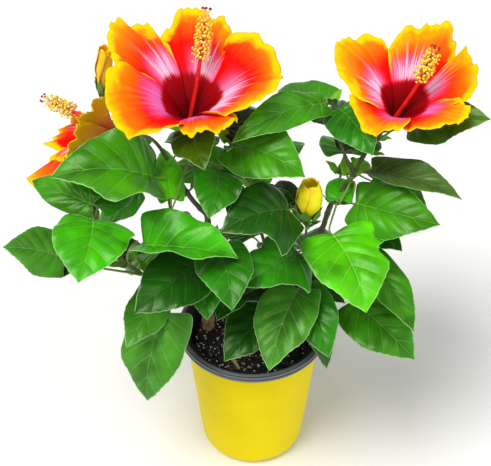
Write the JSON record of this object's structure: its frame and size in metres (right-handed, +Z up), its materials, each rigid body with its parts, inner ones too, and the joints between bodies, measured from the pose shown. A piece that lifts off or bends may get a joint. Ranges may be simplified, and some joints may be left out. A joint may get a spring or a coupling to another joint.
{
  "type": "potted flowering shrub",
  "caption": "Bushy flowering shrub with broad toothed leaves and wide ruffled orange-red blooms, growing in a round tapered yellow pot with a black nursery liner.",
  "frame": {"origin": "middle of the flat underside of the outer pot, on the ground", "axes": "+Z up, +Y away from the side the plant shows in its picture, +X to that picture's right"},
  "size_m": [0.4645, 0.3404, 0.5373],
  "materials": {
    "pot": "smooth, low gloss",
    "liner": "satin black",
    "mix": "moist, crumbly",
    "bark": "ridged bark",
    "green_bark": "smooth green bark",
    "leaf": "glossy leaf",
    "petal": "satin petal",
    "bud": "satin petal"
  },
  "bodies": {
    "root": {"back_bough": "green_bark", "back_leaves": "leaf", "back_left_bough": "green_bark", "back_left_leaves": "leaf", "back_left_low_leaves": "leaf", "back_low_leaves": "leaf", "back_right_bough": "green_bark", "back_right_leaves": "leaf", "bud_bough": "green_bark", "centre_leaves": "leaf", "centre_left_leaves": "leaf", "front_bough": "green_bark", "furled_bloom": "bud", "furled_bough": "green_bark", "inner_left_leaves": "leaf", "leaves_under_bloom": "leaf", "left_bloom": "petal", "left_bough": "green_bark", "left_front_leaf": "leaf", "left_stem": "bark", "left_upper_leaves": "leaf", "low_front_bough": "green_bark", "low_inner_right_leaf": "leaf", "low_left_bough": "green_bark", "low_right_bough": "green_bark", "low_right_leaves": "leaf", "lower_front_leaves": "leaf", "lower_left_leaves": "leaf", "lower_middle_leaf": "leaf", "middle_bough": "green_bark", "middle_leaves": "leaf", "nursery_pot": "liner", "opening_bud": "bud", "outer_left_leaves": "leaf", "outer_pot": "pot", "potting_mix": "mix", "right_bloom": "petal", "right_front_leaf": "leaf", "right_inner_bough": "green_bark", "right_leaves": "leaf", "right_stem": "bark", "side_bloom": "petal", "slanting_bough": "green_bark", "small_middle_leaves": "leaf", "top_left_leaf": "leaf", "top_middle_leaves": "leaf", "upper_back_bough": "green_bark", "upper_back_leaves": "leaf", "upper_back_right_bough": "green_bark", "upper_back_right_leaves": "leaf", "upper_centre_leaves": "leaf", "upper_right_leaves": "leaf"}
  },
  "joints": []
}
